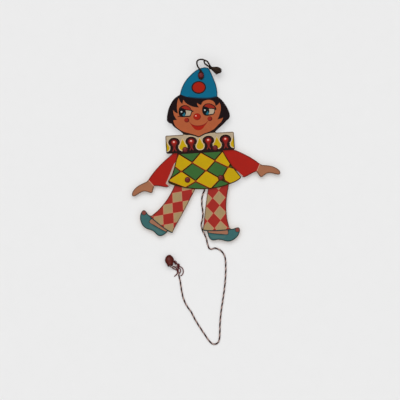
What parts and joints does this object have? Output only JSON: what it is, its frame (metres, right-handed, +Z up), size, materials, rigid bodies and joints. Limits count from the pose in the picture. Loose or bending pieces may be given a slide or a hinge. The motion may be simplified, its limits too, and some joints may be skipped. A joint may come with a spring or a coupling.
{
  "type": "jumping jack clown",
  "caption": "Flat printed-plywood clown puppet on round pegs; pulling the beaded cord below its hem swings the arms and legs up. Hangs by a cord eye at the hat.",
  "frame": {"origin": "back face of the body board in the hat, where the axis of the hanging peg comes out of it", "axes": "+Z up towards the hat's tip, +X to the viewer's right, the printed face looks towards -Y and the wall is at +Y"},
  "size_m": [0.2094, 0.0181, 0.4019],
  "materials": {
    "body_print": "plywood printed in blue, red, black, skin, cream, green and yellow, thin satin varnish, worn edges",
    "arm_print": "plywood with a printed red sleeve and brown skin, thin satin varnish",
    "leg_print": "plywood with red and bare-wood diamonds and a turquoise shoe, thin satin varnish",
    "bare_wood": "unpainted light hardwood and plywood, matt",
    "peg_paint": "turned wood in wine-red lacquer",
    "bead_paint": "turned wood in dark red-brown lacquer, worn at its ends",
    "hanger_cord": "dark brown twisted cord, frayed end",
    "pull_cord": "two-ply cord, one maroon and one grey strand",
    "thin_string": "thin natural string"
  },
  "bodies": {
    "figure": {"body_board": "body_print", "hat_peg": "peg_paint", "shoulder_peg_left": "peg_paint", "shoulder_peg_right": "peg_paint", "hip_peg_left": "peg_paint", "hip_peg_right": "peg_paint", "retaining_cap_shoulder_left": "bare_wood", "retaining_cap_shoulder_right": "bare_wood", "retaining_cap_hip_left": "bare_wood", "retaining_cap_hip_right": "bare_wood"},
    "arm_left_board": {"arm_left": "arm_print", "lever_knot_arm_left": "thin_string"},
    "arm_right_board": {"arm_right": "arm_print", "lever_knot_arm_right": "thin_string"},
    "leg_left_board": {"leg_left": "leg_print", "lever_knot_leg_left": "thin_string"},
    "leg_right_board": {"leg_right": "leg_print", "lever_knot_leg_right": "thin_string"},
    "arm_left_string": {"arm_string_left": "thin_string"},
    "arm_right_string": {"arm_string_right": "thin_string"},
    "leg_left_string": {"leg_string_left": "thin_string"},
    "leg_right_string": {"leg_string_right": "thin_string"},
    "cord": {"pull_cord": "pull_cord", "cross_knot_upper": "thin_string", "cross_knot_lower": "thin_string", "bead_tie": "pull_cord", "bead_loop": "pull_cord"},
    "bead": {"pull_bead": "bead_paint"},
    "hanger": {"hanging_cord": "hanger_cord", "hanging_knot": "hanger_cord", "tassel": "hanger_cord"}
  },
  "joints": [
    {"name": "cord_pull", "type": "slide", "parent": "figure", "child": "cord", "axis": [0, 0, -1], "range_m": [0, 0.015]},
    {"name": "arm_left_swing", "type": "hinge", "parent": "figure", "child": "arm_left_board", "pos_m": [-0.0285, 0.0024, -0.1025], "axis": [0, 1, 0], "range_deg": [0, 88.2]},
    {"name": "arm_right_swing", "type": "hinge", "parent": "figure", "child": "arm_right_board", "pos_m": [0.0135, 0.0024, -0.1025], "axis": [0, -1, 0], "range_deg": [0, 75.4]},
    {"name": "leg_left_swing", "type": "hinge", "parent": "figure", "child": "leg_left_board", "pos_m": [-0.02775, 0.0024, -0.14475], "axis": [0, 1, 0], "range_deg": [0, 44.1]},
    {"name": "leg_right_swing", "type": "hinge", "parent": "figure", "child": "leg_right_board", "pos_m": [0.01875, 0.0024, -0.14475], "axis": [0, -1, 0], "range_deg": [0, 86.1]},
    {"name": "arm_left_string_hinge", "type": "hinge", "parent": "arm_left_board", "child": "arm_left_string", "pos_m": [-0.01748, 0.005, -0.09386], "axis": [0, 1, 0], "range_deg": [-105.4, 0]},
    {"name": "arm_right_string_hinge", "type": "hinge", "parent": "arm_right_board", "child": "arm_right_string", "pos_m": [0.00084, 0.0059, -0.09652], "axis": [0, -1, 0], "range_deg": [-91, 0]},
    {"name": "leg_left_string_hinge", "type": "hinge", "parent": "leg_left_board", "child": "leg_left_string", "pos_m": [-0.01683, 0.005, -0.14609], "axis": [0, 1, 0], "range_deg": [-13.8, 0]},
    {"name": "leg_right_string_hinge", "type": "hinge", "parent": "leg_right_board", "child": "leg_right_string", "pos_m": [0.00974, 0.0059, -0.13844], "axis": [0, -1, 0], "range_deg": [-87.8, 0]},
    {"name": "bead_spin", "type": "hinge", "parent": "cord", "child": "bead", "pos_m": [-0.0598, 0.003, -0.2559], "axis": [-0.0796, 0.4067, 0.9101], "continuous": true},
    {"name": "hanger_swing", "type": "hinge", "parent": "figure", "child": "hanger", "pos_m": [0, -0.00515, 0], "axis": [0, 1, 0], "range_deg": [-60, 90]}
  ],
  "couplings": [
    {"joint": "arm_left_swing", "follows": "cord_pull", "rad_per_m": 102.51},
    {"joint": "arm_right_swing", "follows": "cord_pull", "rad_per_m": 87.615},
    {"joint": "leg_left_swing", "follows": "cord_pull", "rad_per_m": 51.196},
    {"joint": "leg_right_swing", "follows": "cord_pull", "rad_per_m": 100.07},
    {"joint": "arm_left_string_hinge", "follows": "cord_pull", "rad_per_m": -122.41},
    {"joint": "arm_right_string_hinge", "follows": "cord_pull", "rad_per_m": -105.68},
    {"joint": "leg_left_string_hinge", "follows": "cord_pull", "rad_per_m": -15.816},
    {"joint": "leg_right_string_hinge", "follows": "cord_pull", "rad_per_m": -101.91}
  ]
}
